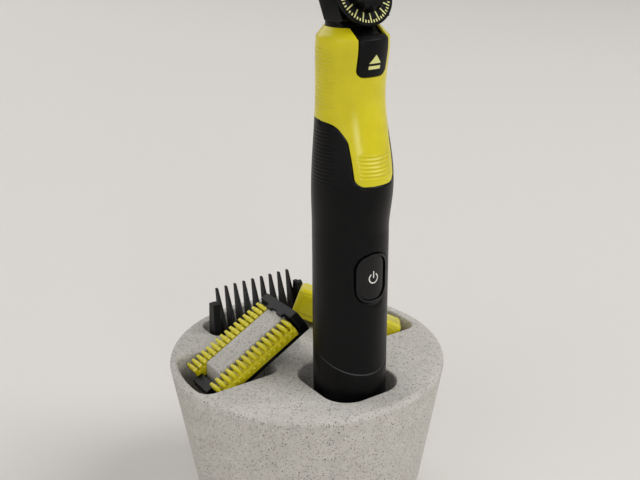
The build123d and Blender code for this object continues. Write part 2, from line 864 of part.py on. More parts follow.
def blade_housing():
    """The lime cartridge: a narrow foot that flares to the width of the blade."""
    foot = Rectangle(2 * housing_foot_half, 2 * housing_foot_deep)
    top = Rectangle(blade_length, blade_depth - fit_gap)
    body = extrude(at_head(housing_foot, foot), amount=housing_shoulder - housing_foot)
    body += loft([at_head(housing_shoulder, foot), at_head(housing_brow, top)], ruled=True)
    body += extrude(at_head(housing_brow, top), amount=blade_plane - blade_thick - housing_brow)
    tray = Rectangle(cutter_length + 2 * (cutter_travel + slide_gap), 2 * blade_depth)
    body -= extrude(at_head(housing_top, tray), amount=blade_plane)
    slot = Rectangle(2 * housing_slot, 2 * (bridge_deep + slide_gap))
    body -= extrude(at_head(2 * housing_foot, slot), amount=blade_plane - 2 * housing_foot)
    return head.location * (body - bar(
        pivot_pin_radius + shaft_gap, -2 * neck_half, 2 * neck_half, head_mid, pivot_z))


def slotted_plate(length, depth, low, high, pitch, slot, deep):
    """A steel plate with a row of saw-cut teeth along both long edges."""
    plate = block((-length / 2, length / 2), (head_mid - depth / 2, head_mid + depth / 2), (low, high))
    count = int((length - 2 * slot) / pitch)
    cutters = []
    for k in range(count):
        x = (k - (count - 1) / 2) * pitch
        for edge in (head_mid - depth / 2, head_mid + depth / 2):
            cutters.append(block((x - slot / 2, x + slot / 2), (edge - deep, edge + deep),
                                 (low - high, 2 * high)))
    return plate - cutters


def blade_guard():
    return head.location * slotted_plate(
        blade_length, blade_depth, blade_plane - blade_thick, blade_plane,
        blade_tooth_pitch, blade_slot, blade_slot_deep)


def cutter_blade():
    return head.location * slotted_plate(
        cutter_length, cutter_depth, cutter_top - cutter_thick, cutter_top,
        cutter_tooth_pitch, cutter_slot, blade_slot_deep)


def cutter_bridge():
    """The plastic fork that the eccentric pin moves from side to side under the cutter."""
    half = fork_gap + bridge_half
    deep = (head_mid - bridge_deep, head_mid + bridge_deep)
    body = block((-half, half), deep, (fork_foot, cutter_top - cutter_thick))
    body -= block((-half, half), (fork_back, far), (2 * fork_foot, fork_shoulder))
    body += block((-half, half), (fork_front, head_mid), (fork_foot, fork_shoulder))
    return head.location * (body - block(
        (-fork_gap, fork_gap), (0, 2 * head_mid), (2 * fork_foot, fork_top)))


# Adjustable comb

def gear(teeth, module, thick, phase=0.0):
    """A small spur gear about the local Y axis, with straight-sided teeth and a little play."""
    root = module * (teeth / 2 - gear_root)
    tip = module * (teeth / 2 + gear_tip)
    wide = pi * module * gear_tooth / 2
    tooth = Polygon((-wide * gear_foot, root / 2), (wide * gear_foot, root / 2),
                    (wide * gear_point, tip), (-wide * gear_point, tip), align=None)
    outline = Circle(root)
    for k in range(teeth):
        outline += Rot(0, 0, phase + k * 360 / teeth) * tooth
    return through(outline, thick[0], thick[1])


def comb_outline(inset=0.0):
    """The comb's body seen from the front: narrow at the neck, flaring to the blade's width."""
    return mirrored([
        (comb_half - inset, comb_top), (comb_half - inset, comb_shoulder),
        (comb_flare_half - inset, comb_flare), (comb_foot_half - inset, comb_foot)])


def comb_base():
    """The body of the adjustable comb: an open-backed shell that straddles the neck."""
    body = through(comb_outline(), plate_front, comb_back)
    hollow = mirrored([
        (comb_half - comb_side, far), (comb_half - comb_side, comb_shoulder),
        (comb_flare_half - comb_side, comb_flare), (comb_foot_half - comb_side, comb_foot),
        (comb_foot_half - comb_side, -far)])
    body -= through(hollow, plate_back, far)
    body -= block((comb_side - comb_half, comb_half - comb_side), (0, far), (comb_plate_top, far))
    for side in (-1, 1):
        ends = sorted((side * (cheek_inner - slide_gap), side * (comb_half - comb_side)))
        body -= block(ends, (0, far), (cheek_low - slide_gap, far))
    body -= block((rack_root_x - slide_gap, rack_back_x + slide_gap), (0, far), (plate_slot_low, far))
    body -= disc(spindle_radius + shaft_gap, 0, far)
    return (head.location * body) & level(collar_h + neck_flange + seat_gap, far)


def dial_detent():
    """A flat ring spring behind the dial, with a raised bump that clicks in the dial's back."""
    ring = disc(detent_outer, plate_front - detent_thick, plate_front)
    ring -= disc(detent_inner, 0, far)
    bump = disc(detent_bump, plate_front - detent_thick - detent_bump, plate_front - detent_thick / 2,
                -(detent_inner + detent_outer) / 2)
    return head.location * (ring + bump)


def comb_dial():
    """The round dial: a bevelled disc with a fluted knob in the middle of its face."""
    bevel_front = dial_face + dial_edge
    dial = disc(dial_radius, dial_face, bevel_front)
    bevel = Pos(0, (bevel_front + dial_thick) / 2) * Rot(90, 0, 0) * Cone(
        dial_back_radius, dial_radius, dial_thick - bevel_front)
    knob = disc(knob_radius, dial_face - knob_height, dial_face)
    knob = fillet(knob.edges().sort_by(Axis.Y)[0], knob_round)
    for k in range(grip_flutes):
        turn = 2 * pi * (k + 1 / 2) / grip_flutes
        knob -= disc(flute_radius, -far, dial_face, knob_radius * cos(turn), knob_radius * sin(turn))
    pocket = disc(detent_outer + slide_gap, dial_thick - detent_pocket, dial_thick + past)
    pocket -= disc(detent_inner - slide_gap, 0, far)
    dial = dial + bevel + knob - pocket
    return head.location * (dial - disc(spindle_radius, dial_thick - spindle_hold, dial_thick + past))


def dial_pinion():
    """The dial's spindle with the small gear that lifts the rack."""
    spindle = disc(spindle_radius, dial_thick - spindle_hold, pinion_back)
    return head.location * (spindle + gear(
        pinion_teeth, gear_module, (pinion_front, pinion_back), -90))


def rack():
    """The toothed bar beside the pinion; a gap between two teeth faces the pinion's axis."""
    x = (rack_root_x, rack_back_x)
    body = block(x, (pinion_front, pinion_back), (rack_low, rack_high))
    wide = rack_pitch * gear_tooth / 4
    tip_x = pinion_radius - gear_module * gear_tip
    for k in range(int(rack_low / rack_pitch), 1):
        z = (k + 1 / 2) * rack_pitch
        tooth = Polygon((rack_root_x + fit_gap, z - wide * gear_foot), (tip_x, z - wide * gear_point),
                        (tip_x, z + wide * gear_point), (rack_root_x + fit_gap, z + wide * gear_foot),
                        align=None)
        body += through(tooth, pinion_front, pinion_back)
    body += block(x, (riser_front, pinion_back), (riser_low, rack_high))
    body += block(x, (riser_front, riser_back), (riser_low, riser_high))
    return body + block(x, (comb_rail_front + comb_rail_deep / 2, riser_back), (comb_rail_low, riser_high))


def comb_slide():
    """The part of the comb that the dial raises: rail, cheeks, rack and the comb's teeth."""
    rail_back = comb_rail_front + comb_rail_deep
    body = block((-cheek_outer, cheek_outer), (comb_rail_front, rail_back),
                 (comb_rail_low, comb_rail_top)) + rack()
    under = blade_plane + comb_tooth_clear
    top = under + comb_tooth_high
    profile = Polygon(
        (comb_rail_front, comb_rail_low), (rail_back, comb_rail_low), (rail_back, under),
        (comb_tooth_tip, under), (comb_tooth_tip - comb_tooth_high / 2, top), (comb_rail_front, top),
        align=None)
    corner = [v for v in profile.vertices() if v.Y > under and v.X < rail_back]
    profile = fillet(corner, comb_arch)
    for k in range(comb_teeth):
        x = (2 * k / (comb_teeth - 1) - 1) * (cheek_outer - comb_tooth / 2)
        body += along(profile, x - comb_tooth / 2, x + comb_tooth / 2)
    for side in (-1, 1):
        ends = sorted((side * cheek_inner, side * cheek_outer))
        body += block(ends, (comb_rail_front, comb_back), (cheek_low, under + past))
    return head.location * body


# Skin guard

def finger_row(profile, count, base, tip):
    """A row of tapering fingers: a long bar of one side profile, cut to a plan of equal fingers."""
    plan = Part()
    for k in range(count):
        x = -guard_low + finger_width / 2 + k * (guard_low + guard_high - finger_width) / (count - 1)
        finger = Polygon((x - finger_width / 2, base), (x + finger_width / 2, base),
                         (x + finger_tip_width / 2, tip), (x - finger_tip_width / 2, tip), align=None)
        plan += extrude(Plane.XY.offset(-far) * finger, amount=2 * far, dir=(0, 0, 1))
    return along(profile, -guard_low, guard_high) & plan


def guard_front_teeth():
    """Lime fingers with free tips at the peg, which bend down into one long skirt."""
    near = -(peg_width / 2 + seat_gap)
    outer = near - front_reach
    body = block((-guard_low, guard_high), (outer, outer + finger_thick),
                 (frame_high, front_bend - front_drop))
    profile = Polygon(
        (near, 0), (near, -finger_thick), (outer + front_bend, -finger_thick),
        (outer + finger_thick, front_bend - front_drop - finger_thick),
        (outer + finger_thick, -front_drop), (outer, -front_drop),
        (outer, front_bend - front_drop), (outer + front_bend, 0), align=None)
    profile = fillet([v for v in profile.vertices() if v.X > near - fit_gap], finger_thick / 3)
    return slope.location * (body + finger_row(profile, front_fingers, outer, near))


def guard_rear_teeth():
    """A lime rail beside the peg, with a row of fingers that point away from it."""
    near = peg_width / 2 + seat_gap
    body = block((-guard_low, guard_high), (near, near + guard_rail), (frame_high, -finger_thick))
    profile = Polygon(
        (near, 0), (near, -rail_drop), (near + guard_rail, -rail_drop),
        (near + rear_reach, -rear_tip), (near + rear_reach, 0), align=None)
    return slope.location * (body + finger_row(profile, rear_fingers, near, near + rear_reach))


def guard_frame():
    """The black ring under the fingers, with a hook over the peg's high end."""
    high = peg_length / 2 + seat_gap
    low = high - frame_low * tan(lean)
    side = peg_width / 2 + seat_gap
    front = side + front_reach
    back = side + guard_rail
    ring = block((-frame_end, high + bracket_thick), (-front, back), (frame_low, frame_high))
    ring -= block((-low, high), (-side, side), (frame_low - past, frame_high + past))
    hook = along(Polygon(
        (-front, frame_low), (back, frame_low), (bracket_back, bracket_side_low / 2),
        (bracket_back, bracket_high), (-bracket_front, bracket_high), (-front, bracket_side_low),
        align=None), high, high + bracket_thick)
    lip = block((high - bracket_lip, high + fit_gap), (-side, side), (seat_gap, bracket_high))
    lip -= block((-far, high - bracket_lip / 2), (-notch_half, notch_half), (0, far))
    end = block((-frame_end, -low), (-side, side), (frame_low, low_bracket_high))
    return slope.location * (ring + hook + lip + end)


# Body comb and blade cap

def body_comb():
    """A comb that stands in the rear pocket with its long tapered teeth leaning back."""
    left = rear_pocket_left + 3 * seat_gap
    right = body_first_x + (body_teeth - 1) * body_pitch + body_tooth / 2 + body_plate
    foot = pocket_floor + seat_gap
    rail = (stand_height + body_rail_low, stand_height + body_rail_high)
    body = block((left + body_end_plate / 2, right), (body_root_front, body_root_back), rail)
    tip_z = stand_height + body_tip_rise
    for k in range(body_teeth):
        x = body_first_x + k * body_pitch
        wide = Pos(x, (body_root_front + body_root_back) / 2, rail[1] - past) * Rectangle(
            body_tooth, body_root_back - body_root_front)
        tip = Pos(x, body_tip_y - body_tip_deep / 2, tip_z) * Rectangle(body_tooth_tip, body_tip_deep)
        body += loft([wide, tip], ruled=True)
    plates = (
        (left, left + body_end_plate, body_end_front),
        (right - body_plate, right, body_root_front),
    )
    for start, end, front in plates:
        body += along(Polygon(
            (front, foot), (body_root_back, foot), (body_root_back, stand_height),
            (body_root_back - past, stand_height + body_plate_rise),
            (body_root_back - past - body_plate_tip, stand_height + body_plate_rise),
            (front, rail[1]), align=None), start, end)
    ring_y = body_root_back - body_plate_tip / 2
    ring_z = stand_height + body_ring_rise
    body += bar(body_ring_radius, right - body_plate / 2, right + body_ring_radius, ring_y, ring_z)
    return body - bar(body_ring_hole, right - 2 * body_plate, right + far, ring_y, ring_z)


def blade_cap():
    """A hollow lime cap, open underneath, that leans in the right pocket."""
    turn = radians(cap_turn)
    fall = radians(cap_fall)
    roll = radians(cap_roll)
    level_side = (-sin(turn), cos(turn), 0)
    upright = (sin(fall) * cos(turn), sin(fall) * sin(turn), cos(fall))
    lie = Plane(
        origin=(cap_corner_x, cap_corner_y, stand_height + cap_corner_rise),
        x_dir=(cos(fall) * cos(turn), cos(fall) * sin(turn), -sin(fall)),
        z_dir=[u * cos(roll) + w * sin(roll) for u, w in zip(upright, level_side)],
    )
    outside = block((0, cap_length), (-cap_width, 0), (-cap_height, 0))
    outside = fillet(outside.edges().filter_by(Axis.Z) + outside.edges().group_by(Axis.Z)[-1], cap_corner)
    inside = block((cap_shell, cap_length - cap_shell), (cap_shell - cap_width, -cap_shell),
                   (-2 * cap_height, -cap_shell))
    return lie.location * (outside - inside)


if __name__ == "__main__":
    os.makedirs("parts", exist_ok=True)
    subparts = (
        stand_body, handle_shell, front_cover, end_cap, end_cap_seal, end_cap_screw, charge_socket,
        charge_pins, chassis, battery_cell, battery_tabs, circuit_board, tact_switch, motor_can,
        motor_bell, motor_screws, motor_shaft, eccentric, shaft_seal, button_bezel, power_button,
        button_seal, release_slider, release_spring, neck, pivot_pins, blade_housing, blade_guard,
        cutter_blade, cutter_bridge, comb_base, dial_detent, comb_dial, dial_pinion, comb_slide,
        guard_front_teeth, guard_rear_teeth, guard_frame, body_comb, blade_cap,
    )
    for make in subparts:
        shape = make()
        if isinstance(shape, list):
            shape = Compound(children=[Part() + piece for piece in shape])
        export_step(shape, f"parts/{make.__name__}.step")
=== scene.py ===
import json

import bmesh
import bpy
import numpy as np
from mathutils import Matrix


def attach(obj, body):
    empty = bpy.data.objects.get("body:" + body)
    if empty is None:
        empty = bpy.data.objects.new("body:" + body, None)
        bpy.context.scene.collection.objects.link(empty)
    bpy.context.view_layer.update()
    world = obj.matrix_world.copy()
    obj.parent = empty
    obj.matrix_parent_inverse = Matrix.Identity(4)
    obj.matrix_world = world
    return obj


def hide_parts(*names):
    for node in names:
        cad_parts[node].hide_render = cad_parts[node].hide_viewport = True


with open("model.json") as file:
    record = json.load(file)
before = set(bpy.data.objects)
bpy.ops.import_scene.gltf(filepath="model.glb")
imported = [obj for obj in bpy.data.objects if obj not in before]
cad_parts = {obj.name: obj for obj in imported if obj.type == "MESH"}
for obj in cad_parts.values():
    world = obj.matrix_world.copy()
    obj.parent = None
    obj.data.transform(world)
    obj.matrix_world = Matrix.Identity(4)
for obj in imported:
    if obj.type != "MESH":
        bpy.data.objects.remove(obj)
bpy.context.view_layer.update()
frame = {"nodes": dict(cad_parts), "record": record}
MM = 0.001
NODES = frame["nodes"]
BEHAVIOUR = frame["record"]["behaviour"]
JOINTS = {joint["name"]: joint for joint in BEHAVIOUR["joints"]}
BODY_OF = {node: body for body, nodes in BEHAVIOUR["bodies"].items() for node in nodes}
SLOT_OF = {entry["node"]: entry["material_slot"] for entry in frame["record"]["subparts"]}
# how high the shaver's own foot stands, in mm: FOOT + h is h above it
FOOT = 50.3


# Materials

def linear(code):
    """The scene's linear colour for an sRGB hex value."""
    srgb = np.array([int(code[i:i + 2], 16) / 255 for i in (1, 3, 5)])
    value = np.where(srgb <= 0.04045, srgb / 12.92, ((srgb + 0.055) / 1.055) ** 2.4)
    return (*value.tolist(), 1.0)


def add(tree, kind, settings=None, links=None):
    """One node with its settings, where stops are a ramp's (position, colour), and its links, each
    socket: (other node, its output)."""
    node = tree.nodes.new(kind)
    for key, value in (settings or {}).items():
        if key == "stops":
            for element, (position, code) in zip(node.color_ramp.elements, value):
                element.position = position
                element.color = linear(code)
        elif isinstance(key, int) or key in node.inputs:
            node.inputs[key].default_value = value
        else:
            setattr(node, key, value)
    for key, (source, output) in (links or {}).items():
        tree.links.new(source.outputs[output], node.inputs[key])
    return node


def start(name, **sockets):
    """A new material with its shader's fixed sockets set, and its Object coordinates."""
    material = bpy.data.materials.new(name)
    material.use_nodes = True
    tree = material.node_tree
    shader = tree.nodes["Principled BSDF"]
    for key, value in sockets.items():
        shader.inputs[key.replace("_", " ")].default_value = value
    return material, tree, shader, add(tree, "ShaderNodeTexCoord")


def grip_ribs(tree, place, relief, low, high, pitch, depth, edge, sides, sag=0.0):
    """Low ribs on top of a relief, in millimetres: a sine of z less sag times x squared, which fades in
    over one pitch at the low and high ends. sides keeps the ribs further than edge from the middle
    plane, and without it they stay nearer than edge; there they fade over 1 mm."""
    fade = 1.0 if sides else -1.0
    along = add(tree, "ShaderNodeSeparateXYZ", links={"Vector": (place, "Object")})
    square = add(tree, "ShaderNodeMath", {"operation": "MULTIPLY"}, {0: (along, "X"), 1: (along, "X")})
    level = add(tree, "ShaderNodeMath", {"operation": "MULTIPLY_ADD", 1: -sag / MM},
                {0: (square, 0), 2: (along, "Z")})
    turn = add(tree, "ShaderNodeMath", {"operation": "MULTIPLY", 1: 2 * np.pi / (pitch * MM)},
               {0: (level, 0)})
    wave = add(tree, "ShaderNodeMath", {"operation": "SINE"}, {0: (turn, 0)})
    above = add(tree, "ShaderNodeMapRange",
                {"From Min": low * MM, "From Max": (low + pitch) * MM}, {"Value": (level, 0)})
    below = add(tree, "ShaderNodeMapRange",
                {"From Min": high * MM, "From Max": (high - pitch) * MM}, {"Value": (level, 0)})
    aside = add(tree, "ShaderNodeMath", {"operation": "ABSOLUTE"}, {0: (along, "X")})
    inside = add(tree, "ShaderNodeMapRange",
                 {"From Min": edge * MM, "From Max": (edge + fade) * MM}, {"Value": (aside, 0)})
    span = add(tree, "ShaderNodeMath", {"operation": "MULTIPLY"}, {0: (above, 0), 1: (below, 0)})
    patch = add(tree, "ShaderNodeMath", {"operation": "MULTIPLY"}, {0: (span, 0), 1: (inside, 0)})
    height = add(tree, "ShaderNodeMath", {"operation": "MULTIPLY"}, {0: (wave, 0), 1: (patch, 0)})
    return add(tree, "ShaderNodeBump", {"Distance": depth * MM},
               {"Height": (height, 0), "Normal": (relief, "Normal")})


def moulded(name, low, high, roughness, spread=0.06, texture_mm=0.35, texture_high=0.012, ribs=(),
            **sockets):
    """Injection-moulded plastic: faint cloudy shifts between two colours, patches of more and less
    gloss, the skin of a spark-eroded tool, and any patches of grip ribs. The real skin's grain is
    about 0.05 mm and is drawn coarser, so that it still breaks up the highlights."""
    cloud_mm = 9.0
    patch_mm = 3.0
    material, tree, shader, place = start(name, **sockets)
    cloud = add(tree, "ShaderNodeTexNoise", {"Scale": 1 / (cloud_mm * MM), "Detail": 3.0},
                {"Vector": (place, "Object")})
    colour = add(tree, "ShaderNodeValToRGB", {"stops": ((0.3, low), (0.7, high))},
                 {"Fac": (cloud, "Fac")})
    patches = add(tree, "ShaderNodeTexNoise", {"Scale": 1 / (patch_mm * MM), "Detail": 4.0},
                  {"Vector": (place, "Object")})
    gloss = add(tree, "ShaderNodeMapRange",
                {"To Min": roughness - spread, "To Max": roughness + spread},
                {"Value": (patches, "Fac")})
    skin = add(tree, "ShaderNodeTexNoise", {"Scale": 1 / (texture_mm * MM), "Detail": 2.0},
               {"Vector": (place, "Object")})
    relief = add(tree, "ShaderNodeBump", {"Distance": texture_high * MM}, {"Height": (skin, "Fac")})
    for rib in ribs:
        relief = grip_ribs(tree, place, relief, **rib)
    tree.links.new(colour.outputs["Color"], shader.inputs["Base Color"])
    tree.links.new(gloss.outputs["Result"], shader.inputs["Roughness"])
    tree.links.new(relief.outputs["Normal"], shader.inputs["Normal"])
    return material


def mineral_stone():
    """Mineral-filled resin, cast and tumbled: matt, warm grey, peppered with dark grains and a few
    pale ones, with a faintly pitted skin. Many real grains are finer than this; the finest are
    drawn half a millimetre wide so that they still show."""
    cloud_mm = 6.0
    pit_mm = 0.8
    pit_deep = 0.1
    # a grain fills its cell out to the smaller of these two shares, and has gone at the larger
    solid, gone = 0.28, 0.48
    # each layer's grain in mm, the share of its cells that hold one, and the grain's colour
    layers = ((0.5, 0.34, "#96928C"), (0.8, 0.16, "#8B8781"), (0.9, 0.05, "#D0CDC7"),
              (0.5, 0.09, "#6E6963"), (0.7, 0.024, "#4E4A46"))
    material, tree, shader, place = start("granite_effect_resin", Roughness=0.78,
                                          Specular_IOR_Level=0.35)
    cloud = add(tree, "ShaderNodeTexNoise",
                {"Scale": 1 / (cloud_mm * MM), "Detail": 5.0, "Roughness": 0.65},
                {"Vector": (place, "Object")})
    colour = add(tree, "ShaderNodeValToRGB", {"stops": ((0.3, "#B6B3AD"), (0.7, "#C6C3BD"))},
                 {"Fac": (cloud, "Fac")})
    output = "Color"
    for size_mm, share, code in layers:
        cells = add(tree, "ShaderNodeTexVoronoi", {"Scale": 1 / (size_mm * MM)},
                    {"Vector": (place, "Object")})
        split = add(tree, "ShaderNodeSeparateColor", links={"Color": (cells, "Color")})
        chosen = add(tree, "ShaderNodeMath", {"operation": "LESS_THAN", 1: share}, {0: (split, "Red")})
        near = add(tree, "ShaderNodeMapRange", {"From Min": gone, "From Max": solid},
                   {"Value": (cells, "Distance")})
        grain = add(tree, "ShaderNodeMath", {"operation": "MULTIPLY"}, {0: (chosen, 0), 1: (near, 0)})
        # of a colour Mix, sockets 6 and 7 are the two colours, and output 2 is the mixed one
        colour = add(tree, "ShaderNodeMix", {"data_type": "RGBA", 7: linear(code)},
                     {0: (grain, 0), 6: (colour, output)})
        output = 2
    tree.links.new(colour.outputs[output], shader.inputs["Base Color"])
    pits = add(tree, "ShaderNodeTexNoise",
               {"Scale": 1 / (pit_mm * MM), "Detail": 4.0, "Roughness": 0.7},
               {"Vector": (place, "Object")})
    relief = add(tree, "ShaderNodeBump", {"Distance": pit_deep * MM, "Strength": 0.7},
                 {"Height": (pits, "Fac")})
    tree.links.new(relief.outputs["Normal"], shader.inputs["Normal"])
    return material


def ground_metal(name, low, high, roughness, grain_mm=0.4):
    """Ground, drawn or plated metal: a fine grain that shifts its tint and its gloss. The real marks
    are a few hundredths of a millimetre wide and are drawn coarser, so that they show at all."""
    gloss_shift = 0.08
    grain_deep = 0.004
    material, tree, shader, place = start(name, Metallic=1.0)
    grain = add(tree, "ShaderNodeTexNoise", {"Scale": 1 / (grain_mm * MM), "Detail": 4.0},
                {"Vector": (place, "Object")})
    colour = add(tree, "ShaderNodeValToRGB", {"stops": ((0.2, low), (0.8, high))},
                 {"Fac": (grain, "Fac")})
    gloss = add(tree, "ShaderNodeMapRange",
                {"To Min": roughness - gloss_shift, "To Max": roughness + gloss_shift},
                {"Value": (grain, "Fac")})
    relief = add(tree, "ShaderNodeBump", {"Distance": grain_deep * MM}, {"Height": (grain, "Fac")})
    tree.links.new(colour.outputs["Color"], shader.inputs["Base Color"])
    tree.links.new(gloss.outputs["Result"], shader.inputs["Roughness"])
    tree.links.new(relief.outputs["Normal"], shader.inputs["Normal"])
    return material


shell_ribs = {"low": FOOT + 102.7, "high": FOOT + 122.7, "pitch": 1.25, "depth": 0.05, "edge": 10.2,
              "sides": True}
cover_ribs = {"low": FOOT + 127.7, "high": FOOT + 148.7, "pitch": 1.25, "depth": 0.09, "edge": 10.1,
              "sides": True}
tongue_grooves = {"low": FOOT + 105.4, "high": FOOT + 114.6, "pitch": 1.3, "depth": 0.11, "edge": 6.4,
                  "sides": False, "sag": 0.01}

# cast and tumbled resin with mineral grains: reads as pale, matt granite
stone = mineral_stone()
# ABS from a spark-eroded tool: deep black with long, soft highlights, and on the handle's sides a
# patch of ribs under the fingers
satin_black = moulded("satin_black_abs", "#030304", "#060607", 0.36, Specular_IOR_Level=0.15,
                      ribs=(shell_ribs,))
# ABS with a duller tool face, for the body comb and small inner housings: dark grey in full light
matte_black = moulded("matte_black_abs", "#090A0B", "#0D0E10", 0.5, texture_mm=0.3, texture_high=0.02,
                      Specular_IOR_Level=0.28)
# ABS from a polished tool: a clear, mirror-like black
gloss_black = moulded("polished_black_abs", "#050507", "#08080A", 0.16, 0.03, texture_high=0.002,
                      Specular_IOR_Level=0.3)
# pigmented ABS, half gloss: a full yellow-green with one soft, bright line along each curve
lime_look = {"low": "#C9BD12", "high": "#D6CA1A", "roughness": 0.26, "spread": 0.05,
             "texture_high": 0.006, "Specular_IOR_Level": 0.4}
lime = moulded("lime_abs", **lime_look)
# the same ABS on the front cover, with its grip ribs at the sides and the curved ones on the tongue
lime_ribbed = moulded("lime_abs_with_ribs", ribs=(cover_ribs, tongue_grooves), **lime_look)
# pad-printed ink: flat and even, hardly any shine
pale_print = moulded("pale_pad_print", "#D4D5CE", "#DEDFD8", 0.55)
lime_print = moulded("lime_pad_print", "#D2D283", "#DEDE92", 0.50)
# a plated ring that is nearly hidden: it reads as a fine grey line
bright_ring = ground_metal("plated_ring", "#47484A", "#5B5C5F", 0.38)
# drawn steel, for the motor's can, shafts, pins, screws and springs: grey with a blurred shine
plain_steel = ground_metal("drawn_steel", "#9FA1A4", "#B5B7BA", 0.34)
# ground stainless, for the blade: paler, with a sharper shine
blade_steel = ground_metal("ground_stainless", "#B4B6B9", "#CACCCE", 0.26, grain_mm=0.25)
# gold plate on the charge pins: warm yellow and bright
gold = ground_metal("gold_plating", "#D1A64C", "#E0BA68", 0.25)
# rolled nickel strip, for the cell's tabs: a slightly yellow grey
nickel = ground_metal("nickel_strip", "#A8A39A", "#BDB8AE", 0.32)
# natural acetal, for the chassis, the dial's gear, the eccentric and the fork: milky white, waxy
acetal = moulded("natural_acetal", "#E0DFDA", "#EAE9E5", 0.45)
# solder mask on glass fibre: dark green under a thin gloss
board_mask = moulded("green_solder_mask", "#0E4A2A", "#155C36", 0.35)
# heat-shrink film round the cell: blue and smooth
sleeve = moulded("blue_shrink_sleeve", "#244E80", "#2C5B92", 0.30)
# moulded silicone, for the seals: black with a dull bloom
silicone = moulded("black_silicone", "#1A1B1C", "#222324", 0.62)

FINISHES = {
    "stone_effect": stone, "satin_black": satin_black, "lime": lime, "bright_line": bright_ring,
    "steel": plain_steel, "blade_steel": blade_steel, "matte_black": matte_black, "contact_gold": gold,
    "inner_white": acetal, "cell_wrap": sleeve, "nickel": nickel, "board_green": board_mask,
    "seal_rubber": silicone, "gloss_black": gloss_black,
}
FINISH_OF = {"front_cover": lime_ribbed}


# Meshes

def paint(piece, material):
    """Gives a piece one material all over."""
    piece.data.materials.clear()
    piece.data.materials.append(material)


def merge(mesh, reach, outwards=False):
    """Joins the points that lie within reach of each other, then turns the faces outwards if asked."""
    skin = bmesh.new()
    skin.from_mesh(mesh)
    bmesh.ops.remove_doubles(skin, verts=skin.verts, dist=reach)
    if outwards:
        bmesh.ops.recalc_face_normals(skin, faces=skin.faces)
    skin.to_mesh(mesh)
    skin.free()


def new_piece(name, mesh):
    """An object for a mesh, at the origin."""
    piece = bpy.data.objects.new(name, mesh)
    bpy.context.collection.objects.link(piece)
    return piece


def set_in_mesh(piece):
    """The piece's mesh becomes what its modifiers make of it."""
    bpy.context.view_layer.update()
    evaluated = piece.evaluated_get(bpy.context.evaluated_depsgraph_get())
    shaped = bpy.data.meshes.new_from_object(evaluated)
    piece.modifiers.clear()
    piece.data = shaped


def grids(name, surfaces, closed=True):
    """One mesh from several surfaces, each an array of rows by columns by x, y, z in metres. Each face
    joins four neighbours of the array; a closed form gets its faces turned outwards."""
    points, faces, first = [], [], 0
    for surface in surfaces:
        rows, columns = surface.shape[:2]
        corner = np.arange(rows * columns).reshape(rows, columns) + first
        ring = (corner[:-1, :-1], corner[:-1, 1:], corner[1:, 1:], corner[1:, :-1])
        faces.append(np.stack(ring, -1).reshape(-1, 4))
        points.append(surface.reshape(-1, 3))
        first += rows * columns
    mesh = bpy.data.meshes.new(name)
    mesh.from_pydata(np.concatenate(points).tolist(), [], np.concatenate(faces).tolist())
    merge(mesh, 1e-6, outwards=closed)
    return new_piece(name, mesh)


def smooth_copy(node, edge_mm=0.0, melt_mm=0.0):
    """The node's own surface merged into one skin, shaded smooth up to an angle between faces, with a
    small rounding along its sharp edges where edge_mm is given. melt_mm rounds a soft-edged moulding
    all over instead: it is the grain of a fine, even net over the same skin, which is then relaxed."""
    smooth_up_to = 32.0
    round_from = 40.0
    mesh = NODES[node].data.copy()
    merge(mesh, 2e-6)
    mesh.shade_smooth()
    mesh.set_sharp_from_angle(angle=float(np.radians(smooth_up_to)))
    piece = new_piece(node + "_skin", mesh)
    if melt_mm:
        net = piece.modifiers.new("net", "REMESH")
        net.mode = "VOXEL"
        net.voxel_size = melt_mm * MM
        net.use_smooth_shade = True
        relaxed = piece.modifiers.new("relaxed", "SMOOTH")
        relaxed.factor = 0.5
        relaxed.iterations = 12
        set_in_mesh(piece)
    if edge_mm:
        soft = piece.modifiers.new("edge", "BEVEL")
        soft.width = edge_mm * MM
        soft.segments = 2
        soft.limit_method = "ANGLE"
        soft.angle_limit = np.radians(round_from)
        soft.harden_normals = True
    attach(piece, BODY_OF[node])
    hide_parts(node)
    return piece


for name, node in NODES.items():
    paint(node, FINISHES[SLOT_OF[name]])

# what shows from outside, with the rounding of its edges in mm, 0 where the solid has its own
edge_rounding = {
    "stand_body": 0.0, "handle_shell": 0.0, "front_cover": 0.12, "end_cap": 0.12, "end_cap_seal": 0.0,
    "button_bezel": 0.15, "power_button": 0.2, "release_slider": 0.15, "neck": 0.2,
    "blade_housing": 0.15, "comb_base": 0.2, "comb_dial": 0.15, "comb_slide": 0.2, "body_comb": 0.15,
    "blade_cap": 0.15, "blade_guard": 0.0, "cutter_blade": 0.0,
}
# the skin guard's mouldings look soft all over: the net's grain in mm
net_grain = {"guard_front_teeth": 0.16, "guard_rear_teeth": 0.16, "guard_frame": 0.2}
skins = {name: smooth_copy(name, edge_mm=edge_mm) for name, edge_mm in edge_rounding.items()}
skins.update({name: smooth_copy(name, melt_mm=melt_mm) for name, melt_mm in net_grain.items()})
for name in skins:
    paint(skins[name], FINISH_OF.get(name, FINISHES[SLOT_OF[name]]))


# Printed signs

print_thick = 0.05
# the signs on the shaver's front start flat in front of it, at this y in metres
print_start = -0.07


def printed(piece, material, body, onto=None):
    """A print as a thin closed skin; onto is the piece that it is pressed on, along y."""
    if onto:
        press = piece.modifiers.new("press", "SHRINKWRAP")
        press.target = onto
        press.wrap_method = "PROJECT"
        press.use_project_y = True
        press.use_positive_direction = True
        set_in_mesh(piece)
    wall = piece.modifiers.new("wall", "SOLIDIFY")
    wall.thickness = print_thick * MM
    wall.offset = 0.0
    paint(piece, material)
    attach(piece, body)


def upright(x_mm, z_mm):
    """A flat surface at print_start, from its x and its height over the shaver's foot."""
    return np.stack([x_mm * MM, np.full_like(x_mm, print_start), (FOOT + z_mm) * MM], -1)


